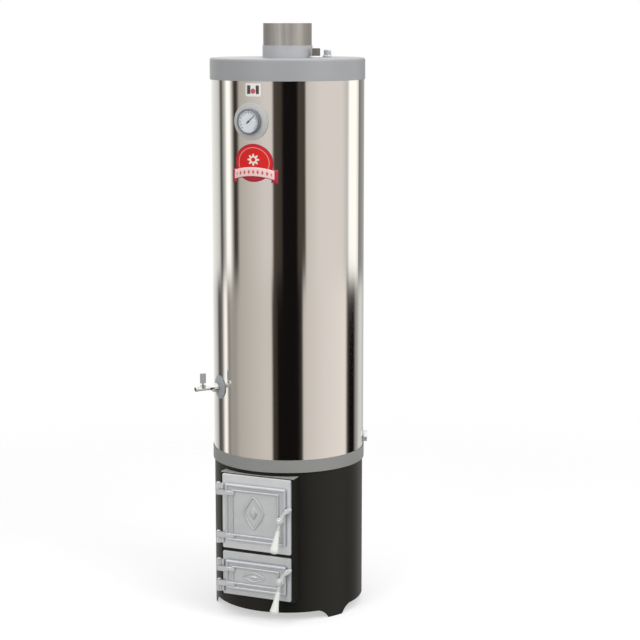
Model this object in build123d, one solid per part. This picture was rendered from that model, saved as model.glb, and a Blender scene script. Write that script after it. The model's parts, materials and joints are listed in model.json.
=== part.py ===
from build123d import *
import math
import os

# Upright wood-fired water heater, in millimetres, +Z up.
# Everything is drawn round the heater's own vertical axis, with the doors towards -Y,
# and is moved at the end so that the origin is on the floor under the middle of the box
# that the whole object fills.

# Sheet-steel stand with the firebox and the ash pit
base_r = 196.0
base_wall = 2.0
foot_height = 22.0
foot_top_width = 104.0
foot_bottom_width = 46.0
foot_angles = (63.0, 180.0, 297.0)
stand_top_z = 392.0

# Flat door box in front of the round stand
panel_lead = 1.0
panel_t = 2.0
box_half_width = 103.0
box_above_feet = 34.0
box_below_top = 6.0

# Floor, grate and the ring that carries it
floor_t = 2.0
grate_above_frame = 4.0
grate_t = 12.0
grate_margin = 16.0
grate_slot = 10.0
grate_bar = 12.0
grate_rim = 14.0
ring_t = 4.0
ring_width = 24.0

# Water tank and fire tube
plate_t = 4.0
insulation = 33.0
tank_wall = 3.0
tank_height = 1006.0
tube_r = 62.5
tube_wall = 2.0
tube_above_cover = 87.0
tube_gap = 0.3

# Painted ring, polished jacket and top cover
jacket_lead = 2.0
cover_lead = 2.0
cover_wall = 1.5
ring_height = 32.0
ring_flange = 34.0
jacket_wall = 1.0
jacket_gap = 0.3
cover_below_tank = 13.0
cover_height = 55.0
cover_round = 6.0
seam_width = 24.0
seam_t = 1.0
collar_height = 31.0
collar_wall = 1.5

# Water connections on the top cover
port_x = 85.0
hot_y = -10.0
cold_y = 62.0
hot_pipe_r = 10.5
hot_bore_r = 7.0
hot_hex_width = 19.0
hot_hex_height = 15.0
hot_height = 24.0
cold_pipe_r = 9.0
cold_bore_r = 6.5
cold_height = 20.5
cold_collar_r = 12.3
cold_collar_height = 6.0
port_gap = 0.5

# Turned rosettes where fittings go through the jacket
dome_root = 8.0
dome_edge = 1.0
dome_bend_r = 0.72
dome_bend_rise = 0.62
dome_crown_r = 0.4

# Dial thermometer on the jacket, its angle taken from the front towards the right
gauge_below_cover = 99.0
gauge_angle = -3.0
gauge_rosette_r = 47.0
gauge_rosette_depth = 6.0
gauge_case_r = 32.0
gauge_case_depth = 11.0
gauge_rim = 4.0
gauge_round = 2.5
gauge_seat_width = 8.0
gauge_well = 5.0
gauge_dial_t = 1.0
gauge_glass_t = 1.2
gauge_glass_inset = 0.7
gauge_play = 0.1
needle_length = 22.0
needle_tail = 7.0
needle_root = 1.4
needle_tip = 0.5
needle_lift = 0.7
needle_t = 0.6
needle_hub_r = 2.6
needle_hub_height = 1.8
needle_angle = 48.0

# Water tap on the left of the jacket, angle taken from the front towards the left
tap_angle = -40.0
tap_above_stand = 206.0
tap_rosette_r = 30.5
tap_rosette_depth = 5.0
tap_nut_r = 11.5
tap_nut_length = 20.0
tap_nipple_r = 8.0
tap_spout_r = 6.0
tap_bead_r = 7.2
tap_bead_length = 7.0
tap_reach = 69.0
tap_bore_r = 4.0
tap_bore_depth = 14.0
tap_stem_at = 47.0
tap_bonnet_r = 7.0
tap_bonnet_height = 10.0
tap_key_width = 16.0
tap_key_height = 25.0
tap_key_t = 5.0
tap_key_gap = 0.4
tap_stem_r = 3.0

# Plug on the right of the jacket
plug_angle = 112.0
plug_above_ring = 2.5
plug_width = 26.0
plug_depth = 11.0
plug_washer_r = 18.0
plug_washer_t = 2.0
plug_root = 2.0

# Cast door frames on the door box
frame_t = 6.0
frame_half_width = 97.0
opening_half_width = 68.0
spigot_wall = 3.5
spigot_depth = 11.0
spigot_gap = 0.5
frame_round = 4.0

# Cast door leaves
leaf_half_width = 85.0
leaf_t = 6.5
leaf_gap = 0.5
bead_height = 3.5
outer_bead = 7.5
inner_bead = 5.5
inner_bead_inset = 17.0
leaf_round = 4.0

# Share of the box's height that each door frame takes, and the margins round its doorway
# and its leaf, below and above
frame_margin = 4.0
frame_space = 8.5
firebox_share = 0.63
door_margins = {
    "firebox": {"opening": (40.0, 40.0), "leaf": (23.0, 23.0), "latch": -6.0},
    "ash": {"opening": (32.5, 35.5), "leaf": (17.5, 21.5), "latch": 0.5},
}

# Hinges on the left edge of the frames
hinge_x = -106.0
hinge_out = 10.0
knuckle_r = 7.0
knuckle_height = 13.4
lug_height = 15.0
knuckle_gap = 0.6
pin_r = 3.0
pin_fit = 0.05
pin_play = 0.25
pin_head_r = 5.0
pin_head_height = 3.0
strap_reach = 48.0
strap_round = 3.5
hinge_inset = 18.0
lower_hinge_inset = 6.3

# Latches on the right edge of the leaves
latch_inset = 10.0
boss_r = 9.0
boss_height = 6.0
hub_r = 10.0
hub_t = 10.5
hub_gap = 0.5
arm_t = 6.5
arm_root = 7.5
arm_bend = (12.0, 21.0)
arm_waist = 4.0
arm_end = (26.5, 32.5)
arm_tip = 5.5
arm_round = 1.5
bolt_r = 4.0
bolt_play = 0.25
nut_r = 7.0
nut_t = 4.0
handle_drop = 80.0
handle_left = 7.0
handle_out = 24.0
neck_r = 3.5
neck_length = 40.0
grip_start = 24.0
grip_r_top = 5.0
grip_r_end = 11.5
grip_end_length = 9.0
grip_hollow = 0.8
grip_fit = 0.05
keeper_w = 11.0
keeper_h = 14.0
keeper_rise = 25.0
keeper_gap = 1.0
keeper_slope = 5.0

# Heat shield behind the fuel door
shield_gap = 6.0
shield_t = 3.0
shield_out = 13.5
shield_stud_r = 5.0
shield_stud_x = 35.0

# Radii that follow from the stand's
shell_in = base_r - base_wall
grate_r = shell_in - grate_margin
panel_front = base_r + panel_lead
panel_back = panel_front - panel_t
jacket_r = base_r + jacket_lead
cover_r = jacket_r + cover_lead
tank_r = jacket_r - insulation

# Heights that follow from the feet, the stand and the tank
box_bottom_z = foot_height + box_above_feet
box_top_z = stand_top_z - box_below_top
tank_z = stand_top_z + plate_t
ring_top_z = tank_z + ring_height
plug_z = ring_top_z + plug_washer_r + plug_above_ring
tap_z = stand_top_z + tap_above_stand
tank_top_z = tank_z + tank_height
cover_z = tank_top_z - cover_below_tank
cover_top_z = cover_z + cover_height
gauge_z = cover_z - gauge_below_cover
tube_top_z = cover_top_z + tube_above_cover
collar_top_z = cover_top_z + collar_height
jacket_bottom_z = tank_z + cover_wall

# Door frames, doorways, leaves and latches by height
frames_height = box_top_z - box_bottom_z - 2 * frame_margin - frame_space
ash_frame_z = box_bottom_z + frame_margin
firebox_frame_z = box_top_z - frame_margin - frames_height * firebox_share
grate_z = firebox_frame_z + grate_above_frame


def door_levels(name, low, high):
    margins = door_margins[name]
    leaf = (low + margins["leaf"][0], high - margins["leaf"][1])
    return {
        "frame": (low, high),
        "opening": (low + margins["opening"][0], high - margins["opening"][1]),
        "leaf": leaf,
        "latch": (leaf[0] + leaf[1]) / 2 + margins["latch"],
    }


door_heights = {
    "firebox": door_levels("firebox", firebox_frame_z, box_top_z - frame_margin),
    "ash": door_levels("ash", ash_frame_z, firebox_frame_z - frame_space),
}

# Depths in front of the axis
frame_front = panel_front + frame_t
leaf_back = frame_front + leaf_gap
leaf_front = leaf_back + leaf_t
hinge_y = panel_front + hinge_out
boss_front = leaf_front + boss_height
dial_at = jacket_r + gauge_rosette_depth + gauge_case_depth - gauge_well
dial_r = gauge_case_r - gauge_rim - gauge_play
hub_back = boss_front + hub_gap
hub_front = hub_back + hub_t
arm_back = hub_back + 2.0
latch_x = leaf_half_width - latch_inset
handle_length = math.sqrt(handle_drop**2 + handle_left**2 + handle_out**2)
front_reach = hub_back + hub_t / 2 + handle_out + grip_r_end
axis_y = (front_reach - cover_r) / 2


def tube(r_out, r_in, z0, z1):
    wall = Circle(r_out) - Circle(r_in)
    return Pos(0, 0, z0) * extrude(wall, z1 - z0)


def disc(r, z0, z1):
    return Pos(0, 0, z0) * extrude(Circle(r), z1 - z0)


def slab(x0, x1, y0, y1, z0, z1):
    return Pos((x0 + x1) / 2, (y0 + y1) / 2, (z0 + z1) / 2) * Box(x1 - x0, y1 - y0, z1 - z0)


def turned(points):
    """A solid of revolution about Z from (radius, height) points."""
    return revolve(Plane.XZ * make_face(Polyline(*points, close=True)), Axis.Z)


def front_plane(depth, z, x=0.0):
    """Local x is the heater's X, local y its Z, and extrusions go towards the front."""
    return Plane(origin=(x, -depth, z), x_dir=(1, 0, 0), z_dir=(0, -1, 0))


def outward_plane(angle, radius, z):
    """A plane that looks away from the axis, at an angle from the front towards the right."""
    a = math.radians(angle)
    out = (math.sin(a), -math.cos(a), 0)
    side = (math.cos(a), math.sin(a), 0)
    return Plane(origin=(out[0] * radius, out[1] * radius, z), x_dir=side, z_dir=out)


def make_foot(angle):
    """A tapered tab with hollow sides, cut from the lower edge of the round wall."""
    top, bottom = foot_top_width / 2, foot_bottom_width / 2
    waist = bottom + (top - bottom) * 0.3
    middle = foot_height * 0.5
    right = ThreePointArc((bottom, 0), (waist, middle), (top, foot_height))
    left = ThreePointArc((-top, foot_height), (-waist, middle), (-bottom, 0))
    outline = make_face(
        [right, Line((top, foot_height), (-top, foot_height)), left, Line((-bottom, 0), (bottom, 0))]
    )
    prism = extrude(outward_plane(angle, base_r / 2, 0) * outline, base_r)
    return prism & tube(base_r, shell_in, 0, foot_height)


def make_base_shell():
    """Round wall, open where the door box stands in front of it."""
    inner_half = box_half_width - panel_t
    wall = tube(base_r, shell_in, foot_height, stand_top_z)
    wall -= slab(
        -inner_half, inner_half, -base_r - 1, 0, box_bottom_z + panel_t, box_top_z - panel_t
    )
    for angle in foot_angles:
        wall += make_foot(angle)
    return wall


def make_door_panel():
    """Flat front of the door box with the two holes that the frames' spigots enter."""
    z0, z1 = box_bottom_z + panel_t, box_top_z - panel_t
    panel = slab(-box_half_width, box_half_width, -panel_front, -panel_back, z0, z1)
    for door in door_heights.values():
        low, high = door["opening"]
        hole_w = 2 * (opening_half_width + spigot_wall + spigot_gap)
        hole_h = high - low + 2 * (spigot_wall + spigot_gap)
        hole = RectangleRounded(hole_w, hole_h, frame_round + spigot_wall)
        panel -= extrude(front_plane(panel_back - 1, (low + high) / 2) * hole, panel_t + 2)
    return panel


def make_box_side(side):
    """Cheek between the front panel and the round wall, on the left (-1) or right (1)."""
    outer = side * box_half_width
    inner = side * (box_half_width - panel_t)
    z0, z1 = box_bottom_z + panel_t, box_top_z - panel_t
    cheek = slab(min(outer, inner), max(outer, inner), -panel_back, -base_r / 2, z0, z1)
    return cheek - disc(base_r, z0 - 1, z1 + 1)


def make_box_plate(z0):
    """Level plate that closes the door box above or below, back to the round wall."""
    plate = slab(-box_half_width, box_half_width, -panel_front, -base_r / 2, z0, z0 + panel_t)
    return plate - disc(base_r, z0 - 1, z0 + panel_t + 1)


def make_ash_floor():
    return disc(shell_in, box_bottom_z, box_bottom_z + floor_t)


def make_grate_ring():
    return tube(shell_in, shell_in - ring_width, grate_z - ring_t, grate_z)


def make_fire_grate():
    """Round cast grate with parallel slots inside a plain rim."""
    grate = disc(grate_r, grate_z, grate_z + grate_t)
    pitch = grate_slot + grate_bar
    count = int((grate_r - grate_rim) / pitch)
    for step in range(-count, count + 1):
        x = step * pitch
        reach = math.sqrt((grate_r - grate_rim) ** 2 - (abs(x) + grate_slot / 2) ** 2)
        slot = SlotOverall(2 * reach, grate_slot, rotation=90)
        grate -= Pos(x, 0, grate_z - 1) * extrude(slot, grate_t + 2)
    return grate


def make_tank_bottom():
    """Firebox roof: a plate on the stand, round the fire tube."""
    return tube(base_r, tube_r + tube_gap, stand_top_z, stand_top_z + plate_t)


def make_tank_shell():
    return tube(tank_r, tank_r - tank_wall, tank_z, tank_top_z)


def make_tank_top():
    top = tube(tank_r, tube_r + tube_gap, tank_top_z, tank_top_z + plate_t)
    top -= Pos(port_x, hot_y, 0) * disc(hot_pipe_r + port_gap, tank_top_z - 1, tank_top_z + plate_t + 1)
    top -= Pos(port_x, cold_y, 0) * disc(cold_pipe_r + port_gap, tank_top_z - 1, tank_top_z + plate_t + 1)
    return top


def make_fire_tube():
    return tube(tube_r, tube_r - tube_wall, stand_top_z, tube_top_z)


def make_bottom_ring():
    """Painted ring with a flange that lies on the firebox roof and carries the jacket."""
    return turned(
        [
            (cover_r - ring_flange, tank_z),
            (cover_r, tank_z),
            (cover_r, ring_top_z),
            (cover_r - cover_wall, ring_top_z),
            (cover_r - cover_wall, tank_z + cover_wall),
            (cover_r - ring_flange, tank_z + cover_wall),
        ]
    )


def make_jacket():
    return tube(
        jacket_r, jacket_r - jacket_wall, jacket_bottom_z, cover_top_z - cover_round - jacket_gap
    )


def make_jacket_seam():
    """Lapped strip over the joint at the back of the jacket, between the ring and the cover."""
    z0 = ring_top_z + seam_t
    z1 = cover_z - seam_t
    strip = tube(jacket_r + seam_t, jacket_r, z0, z1)
    return strip & slab(-seam_width / 2, seam_width / 2, 0, cover_r, z0, z1)


def make_top_cover():
    """Pressed cover: a flat top with a rounded shoulder and a skirt round the jacket."""
    outer = disc(cover_r, cover_z, cover_top_z)
    outer = fillet(outer.edges().sort_by(Axis.Z)[-1], cover_round)
    inner = disc(cover_r - cover_wall, cover_z - 1, cover_top_z - cover_wall)
    inner = fillet(inner.edges().sort_by(Axis.Z)[-1], cover_round - cover_wall)
    cover = outer - inner
    cover -= disc(tube_r + tube_gap, cover_z, cover_top_z + 1)
    cover -= Pos(port_x, hot_y, 0) * disc(hot_pipe_r + port_gap, cover_z, cover_top_z + 1)
    cover -= Pos(port_x, cold_y, 0) * disc(cold_pipe_r + port_gap, cover_z, cover_top_z + 1)
    return cover


def make_flue_collar():
    r_in = tube_r + tube_gap
    return tube(r_in + collar_wall, r_in, cover_top_z, collar_top_z)


def make_hot_outlet():
    """Riser from the tank with a hexagon socket on top."""
    top = cover_top_z + hot_height
    hex_z = top - hot_hex_height
    riser = disc(hot_pipe_r, tank_top_z, hex_z)
    nut = Pos(0, 0, hex_z) * extrude(
        RegularPolygon(hot_hex_width / 2, 6, major_radius=False), hot_hex_height
    )
    nut = chamfer(nut.edges().group_by(Axis.Z)[-1], 1.0)
    fitting = riser + nut - disc(hot_bore_r, tank_top_z - 1, top + 1)
    return Pos(port_x, hot_y, 0) * fitting


def make_cold_inlet():
    """Plain riser with a low collar on the cover."""
    top = cover_top_z + cold_height
    riser = disc(cold_pipe_r, tank_top_z, top)
    riser = chamfer(riser.edges().sort_by(Axis.Z)[-1], 1.0)
    collar = disc(cold_collar_r, cover_top_z, cover_top_z + cold_collar_height)
    collar = fillet(collar.edges().sort_by(Axis.Z)[-1], 1.5)
    fitting = riser + collar - disc(cold_bore_r, tank_top_z - 1, top + 1)
    return Pos(port_x, cold_y, 0) * fitting


def make_dome(angle, z, r, depth, hole_r):
    """Shallow turned rosette with a hole, its back hollowed to the jacket."""
    rim = dome_root + dome_edge
    crown = dome_root + depth
    bend = rim + (depth - dome_edge) * dome_bend_rise
    profile = make_face(
        [
            Line((hole_r, 0), (r, 0)),
            Line((r, 0), (r, rim)),
            ThreePointArc((r, rim), (r * dome_bend_r, bend), (r * dome_crown_r, crown)),
            Line((r * dome_crown_r, crown), (hole_r, crown)),
            Line((hole_r, crown), (hole_r, 0)),
        ]
    )
    dome = revolve(Plane.XZ * profile, Axis.Z)
    placed = outward_plane(angle, jacket_r - dome_root, z) * dome
    return placed - disc(jacket_r + jacket_gap, z - 2 * r, z + 2 * r)


def make_gauge_rosette():
    hole_r = gauge_rosette_r * dome_crown_r - gauge_seat_width
    return make_dome(gauge_angle, gauge_z, gauge_rosette_r, gauge_rosette_depth, hole_r)


def make_gauge_case():
    """Round case open in front, with a rounded rim and a short stem through the jacket."""
    seat = jacket_r + gauge_rosette_depth
    case = extrude(outward_plane(gauge_angle, seat, gauge_z) * Circle(gauge_case_r), gauge_case_depth)
    case = fillet(case.edges().sort_by(Axis.Y)[0], gauge_round)
    well = outward_plane(gauge_angle, dial_at, gauge_z) * Circle(gauge_case_r - gauge_rim)
    case -= extrude(well, gauge_well + 1)
    return case


def make_gauge_dial():
    return extrude(outward_plane(gauge_angle, dial_at, gauge_z) * Circle(dial_r), gauge_dial_t)


def make_gauge_needle():
    at = dial_at + gauge_dial_t
    blade = make_face(
        Polyline(
            (-needle_root, -needle_tail),
            (needle_root, -needle_tail),
            (needle_tip, needle_length),
            (-needle_tip, needle_length),
            close=True,
        )
    )
    turned_blade = Rot(0, 0, -needle_angle) * blade
    needle = extrude(outward_plane(gauge_angle, at + needle_lift, gauge_z) * turned_blade, needle_t)
    return needle + extrude(outward_plane(gauge_angle, at, gauge_z) * Circle(needle_hub_r), needle_hub_height)


def make_gauge_glass():
    at = dial_at + gauge_well - gauge_glass_t - gauge_glass_inset
    return extrude(outward_plane(gauge_angle, at, gauge_z) * Circle(dial_r), gauge_glass_t)


def make_tap_rosette():
    return make_dome(tap_angle, tap_z, tap_rosette_r, tap_rosette_depth, tap_nipple_r + gauge_play)


def make_tap_body():
    """Turned body: nipple, round nut, waisted spout with a bead at its end, and a bonnet."""
    seat = tap_rosette_depth
    nut_end = seat + tap_nut_length
    points = [
        (0, 0.5),
        (tap_nipple_r, 0.5),
        (tap_nipple_r, seat),
        (tap_nut_r - 1, seat),
        (tap_nut_r, seat + 2),
        (tap_nut_r, nut_end - 6),
        (tap_spout_r + 2, nut_end - 1),
        (tap_spout_r, nut_end + 4),
        (tap_spout_r, tap_reach - tap_bead_length),
        (tap_bead_r, tap_reach - tap_bead_length + 1),
        (tap_bead_r, tap_reach - 1.5),
        (tap_bead_r - 1.5, tap_reach),
        (0, tap_reach),
    ]
    body = outward_plane(tap_angle, jacket_r, tap_z) * turned(points)
    stem_plane = Plane(origin=tap_stem_point(0), z_dir=(0, 0, 1))
    body += extrude(stem_plane * Circle(tap_bonnet_r), tap_bonnet_height)
    body -= extrude(
        outward_plane(tap_angle, jacket_r + tap_reach - tap_bore_depth, tap_z) * Circle(tap_bore_r),
        tap_bore_depth + 1,
    )
    return body


def tap_stem_point(height):
    a = math.radians(tap_angle)
    reach = jacket_r + tap_stem_at
    return (math.sin(a) * reach, -math.cos(a) * reach, tap_z + height)


def make_tap_key():
    """Stem with an upright flat key in line with the spout."""
    z0 = tap_bonnet_height + tap_key_gap
    plane = Plane(
        origin=tap_stem_point(z0),
        x_dir=outward_plane(tap_angle, jacket_r, tap_z).z_dir,
        z_dir=(0, 0, 1),
    )
    stem = extrude(plane * Circle(tap_stem_r), 5)
    key = extrude(plane.offset(4) * RectangleRounded(tap_key_width, tap_key_t, 2.2), tap_key_height)
    return stem + key


def make_drain_plug():
    """Hexagon plug on a round washer."""
    plane = outward_plane(plug_angle, jacket_r - plug_root, plug_z)
    washer = extrude(plane * Circle(plug_washer_r), plug_root + plug_washer_t)
    hexagon = RegularPolygon(plug_width / 2, 6, major_radius=False)
    head = extrude(plane * hexagon, plug_root + plug_depth)
    head = chamfer(head.faces().sort_by(Axis((0, 0, 0), tuple(plane.z_dir)))[-1].edges(), 1.5)
    plug = washer + head
    return plug - disc(jacket_r + jacket_gap, plug_z - plug_width, plug_z + plug_width)


def lug_heights(door):
    """Bottom of each frame lug and of the leaf knuckle beside it, upper hinge first."""
    low, high = door["leaf"]
    upper_knuckle = high - hinge_inset - knuckle_height
    lower_knuckle = low + lower_hinge_inset
    return {
        "upper_lug": upper_knuckle + knuckle_height + knuckle_gap,
        "upper_knuckle": upper_knuckle,
        "lower_knuckle": lower_knuckle,
        "lower_lug": lower_knuckle - knuckle_gap - lug_height,
    }


def hinge_barrel(r, z0, height):
    return Pos(hinge_x, -hinge_y, z0) * extrude(Circle(r), height)


def make_frame(door):
    """Cast frame: a flat flange with a spigot through the panel and two hinge lugs."""
    low, high = door["frame"]
    o_low, o_high = door["opening"]
    o_mid = (o_low + o_high) / 2
    flange = RectangleRounded(2 * frame_half_width, high - low, frame_round)
    frame = extrude(front_plane(panel_front, (low + high) / 2) * flange, frame_t)
    frame = fillet(frame.edges().group_by(Axis.Y)[0], 1.5)
    spigot_w = 2 * (opening_half_width + spigot_wall)
    spigot_h = o_high - o_low + 2 * spigot_wall
    spigot = RectangleRounded(spigot_w, spigot_h, frame_round + spigot_wall)
    frame += extrude(front_plane(panel_front - spigot_depth, o_mid) * spigot, spigot_depth + 1)
    hole = RectangleRounded(2 * opening_half_width, o_high - o_low, frame_round)
    frame -= extrude(
        front_plane(panel_front - spigot_depth - 1, o_mid) * hole, spigot_depth + frame_t + 2
    )
    heights = lug_heights(door)
    for name in ("upper_lug", "lower_lug"):
        z0 = heights[name]
        web = slab(hinge_x, -frame_half_width + 5, -hinge_y - 1, -panel_front - 1, z0, z0 + lug_height)
        frame += hinge_barrel(knuckle_r, z0, lug_height) + web
        frame -= hinge_barrel(pin_r + pin_fit, z0 - 1, lug_height + 2)
    return frame


def make_hinge_pins(door):
    """One headed pin through each pair of lug and knuckle."""
    heights = lug_heights(door)
    pins = []
    pairs = (
        (heights["upper_knuckle"], heights["upper_lug"] + lug_height),
        (heights["lower_lug"], heights["lower_knuckle"] + knuckle_height),
    )
    for low, high in pairs:
        shaft = hinge_barrel(pin_r, low, high - low + knuckle_gap)
        head = hinge_barrel(pin_head_r, high + knuckle_gap, pin_head_height)
        head = fillet(head.edges().sort_by(Axis.Z)[-1], 2.0)
        pins.append(shaft + head)
    return Compound(children=pins)


def raised_border(width, height, depth, z, line, rise, corner):
    """A rounded bead that runs round a rectangle on the front of a leaf."""
    outer = RectangleRounded(width, height, corner)
    inner = RectangleRounded(width - 2 * line, height - 2 * line, max(corner - line, 0.8))
    bead = extrude(front_plane(depth - 1, z) * (outer - inner), rise + 1)
    return fillet(bead.edges().group_by(Axis.Y)[0], min(line / 2.2, rise - 0.4))


def make_leaf(name, door):
    """Cast door leaf with two raised beads, two hinge straps and a boss for the latch."""
    low, high = door["leaf"]
    mid = (low + high) / 2
    width, height = 2 * leaf_half_width, high - low
    leaf = extrude(front_plane(leaf_back, mid) * RectangleRounded(width, height, leaf_round), leaf_t)
    leaf += raised_border(width, height, leaf_front, mid, outer_bead, bead_height, leaf_round)
    inner_w = width - 2 * inner_bead_inset
    inner_h = height - 2 * inner_bead_inset * 0.8
    leaf += raised_border(inner_w, inner_h, leaf_front, mid, inner_bead, bead_height, leaf_round)
    heights = lug_heights(door)
    strap_front = hinge_y + knuckle_r
    for key in ("upper_knuckle", "lower_knuckle"):
        z0 = heights[key]
        z1 = z0 + knuckle_height
        strap = slab(hinge_x, hinge_x + strap_reach, -strap_front, -leaf_front + 1, z0, z1)
        strap = fillet(strap.edges().filter_by(Axis.Y).sort_by(Axis.X)[-2:], strap_round * 1.2)
        strap = fillet(strap.edges().group_by(Axis.Y)[0], strap_round)
        root = slab(hinge_x, -leaf_half_width + 2, -strap_front, -hinge_y + 1, z0, z1)
        leaf += strap + hinge_barrel(knuckle_r, z0, knuckle_height) + root
        leaf -= hinge_barrel(pin_r + pin_play, z0 - 1, knuckle_height + 2)
    z = door_heights[name]["latch"]
    boss = extrude(front_plane(leaf_front - 1, z, latch_x) * Circle(boss_r), boss_height + 1)
    leaf += boss
    leaf -= extrude(
        front_plane(boss_front - 10, z, latch_x) * Circle(bolt_r + pin_fit), 11
    )
    return leaf


def make_latch_pin(name):
    """Pivot bolt of the latch with a domed nut in front."""
    z = door_heights[name]["latch"]
    start = boss_front - 9
    seat = hub_front + hub_gap
    bolt = extrude(front_plane(start, z, latch_x) * Circle(bolt_r), seat - start)
    nut = extrude(front_plane(seat, z, latch_x) * Circle(nut_r), nut_t)
    return bolt + fillet(nut.edges().sort_by(Axis.Y)[0], 2.5)


def handle_frame(name):
    """Plane at the hub with its normal along the handle, towards the grip's end."""
    z = door_heights[name]["latch"]
    origin = (latch_x, -(hub_back + hub_t / 2), z)
    down = (-handle_left, -handle_out, -handle_drop)
    return Plane(origin=origin, x_dir=(1, 0, -handle_left / handle_drop), z_dir=down)


def make_latch(name):
    """Turning lever: a hub, an arm that rests at the keeper, and the handle's neck."""
    z = door_heights[name]["latch"]
    hub = extrude(front_plane(hub_back, z, latch_x) * Circle(hub_r), hub_t)
    hub = fillet(hub.edges().sort_by(Axis.Y)[0], 2.5)
    waist = Pos(*arm_bend) * Circle(arm_waist)
    tip = Pos(*arm_end) * Circle(arm_tip)
    arm_outline = make_hull(Circle(arm_root).edges() + waist.edges())
    arm_outline += make_hull(waist.edges() + tip.edges())
    arm = extrude(front_plane(arm_back, z, latch_x) * arm_outline, arm_t)
    arm = fillet(arm.edges().group_by(Axis.Y)[0], arm_round)
    neck = extrude(handle_frame(name) * Circle(neck_r), neck_length)
    lever = hub + arm + neck
    hole = extrude(front_plane(hub_back - 1, z, latch_x) * Circle(bolt_r + bolt_play), hub_t + 2)
    return lever - hole


def make_grip(name):
    """Tapered turned grip with a rounded end, bored for the neck."""
    length = handle_length - grip_start
    shoulder = length - grip_end_length
    crown = length - grip_end_length * 0.32
    waist = (grip_r_top + grip_r_end) / 2 - grip_hollow
    tip = grip_r_end * 0.3
    profile = make_face(
        [
            Line((0, 0), (grip_r_top, 0)),
            ThreePointArc((grip_r_top, 0), (waist, shoulder / 2), (grip_r_end, shoulder)),
            ThreePointArc((grip_r_end, shoulder), (grip_r_end * 0.8, crown), (tip, length)),
            Line((tip, length), (0, length)),
            Line((0, length), (0, 0)),
        ]
    )
    grip = revolve(Plane.XZ * profile, Axis.Z)
    bore_depth = neck_length - grip_start
    grip -= disc(neck_r + grip_fit, -1, bore_depth + 0.1)
    return handle_frame(name).offset(grip_start) * grip


def make_keeper(name):
    """Ramp on the frame's right margin, behind the end of the latch arm."""
    z = door_heights[name]["latch"] + keeper_rise
    x1 = frame_half_width - 0.5
    x0 = x1 - keeper_w
    out = arm_back - keeper_gap
    post = slab(x0, x1, -out, -frame_front, z - keeper_h / 2, z + keeper_h / 2)
    upper_front = post.edges().group_by(Axis.Y)[0].sort_by(Axis.Z)[-1]
    post = chamfer(upper_front, keeper_slope)
    return fillet(post.edges().filter_by(Axis.Y), 1.5)


def make_shield(door):
    """Heat shield on two studs behind the fuel door."""
    low, high = door["opening"]
    mid = (low + high) / 2
    width = 2 * (opening_half_width - shield_gap)
    height = high - low - 2 * shield_gap
    plate_back = leaf_back - shield_out - shield_t
    plate = extrude(front_plane(plate_back, mid) * RectangleRounded(width, height, 5), shield_t)
    for side in (-1, 1):
        plate += extrude(
            front_plane(plate_back + 1, mid, side * shield_stud_x) * Circle(shield_stud_r),
            shield_out + shield_t - 1,
        )
    return plate


def all_pieces():
    pieces = {
        "base_shell": make_base_shell(),
        "door_panel": make_door_panel(),
        "box_left_side": make_box_side(-1),
        "box_right_side": make_box_side(1),
        "box_ledge": make_box_plate(box_top_z - panel_t),
        "box_underside": make_box_plate(box_bottom_z),
        "ash_floor": make_ash_floor(),
        "grate_ring": make_grate_ring(),
        "fire_grate": make_fire_grate(),
        "tank_bottom": make_tank_bottom(),
        "tank_shell": make_tank_shell(),
        "tank_top": make_tank_top(),
        "fire_tube": make_fire_tube(),
        "bottom_ring": make_bottom_ring(),
        "jacket": make_jacket(),
        "jacket_seam": make_jacket_seam(),
        "top_cover": make_top_cover(),
        "flue_collar": make_flue_collar(),
        "hot_outlet": make_hot_outlet(),
        "cold_inlet": make_cold_inlet(),
        "gauge_rosette": make_gauge_rosette(),
        "gauge_case": make_gauge_case(),
        "gauge_dial": make_gauge_dial(),
        "gauge_needle": make_gauge_needle(),
        "gauge_glass": make_gauge_glass(),
        "tap_rosette": make_tap_rosette(),
        "tap_body": make_tap_body(),
        "tap_key": make_tap_key(),
        "drain_plug": make_drain_plug(),
        "firebox_shield": make_shield(door_heights["firebox"]),
    }
    for name, door in door_heights.items():
        pieces[name + "_frame"] = make_frame(door)
        pieces[name + "_hinge_pins"] = make_hinge_pins(door)
        pieces[name + "_leaf"] = make_leaf(name, door)
        pieces[name + "_latch_pin"] = make_latch_pin(name)
        pieces[name + "_latch"] = make_latch(name)
        pieces[name + "_grip"] = make_grip(name)
        pieces[name + "_keeper"] = make_keeper(name)
    return pieces


os.makedirs("parts", exist_ok=True)
for node, shape in all_pieces().items():
    export_step(Pos(0, axis_y, 0) * shape, f"parts/{node}.step")
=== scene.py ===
import json
import math

import bmesh
import bpy
import numpy as np
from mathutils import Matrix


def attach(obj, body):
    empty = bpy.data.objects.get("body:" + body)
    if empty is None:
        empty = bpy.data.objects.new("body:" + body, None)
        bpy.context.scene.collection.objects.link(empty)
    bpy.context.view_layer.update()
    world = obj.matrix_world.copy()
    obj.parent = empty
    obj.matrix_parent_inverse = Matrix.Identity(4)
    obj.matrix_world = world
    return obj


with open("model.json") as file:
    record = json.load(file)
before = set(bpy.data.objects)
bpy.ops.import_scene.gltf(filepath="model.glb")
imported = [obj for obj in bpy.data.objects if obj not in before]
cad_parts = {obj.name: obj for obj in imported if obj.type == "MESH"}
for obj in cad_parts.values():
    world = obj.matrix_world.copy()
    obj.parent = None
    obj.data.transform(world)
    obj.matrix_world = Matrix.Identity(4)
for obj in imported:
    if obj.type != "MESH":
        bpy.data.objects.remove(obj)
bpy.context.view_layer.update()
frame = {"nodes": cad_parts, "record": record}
nodes = frame["nodes"]
print("frame loaded", len(nodes), "nodes")

# Sizes in metres, in the row frame. Azimuths in degrees, from the front (-Y) towards the right (+X)
axisY = 0.028625  # the heater's own axis stands upright at x = 0, y = axisY
jacketR = 0.198
leafFront = 0.210  # from the axis to the front of the door leaves
fullTurn = 2 * math.pi
mergeDistance = 1e-7


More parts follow.
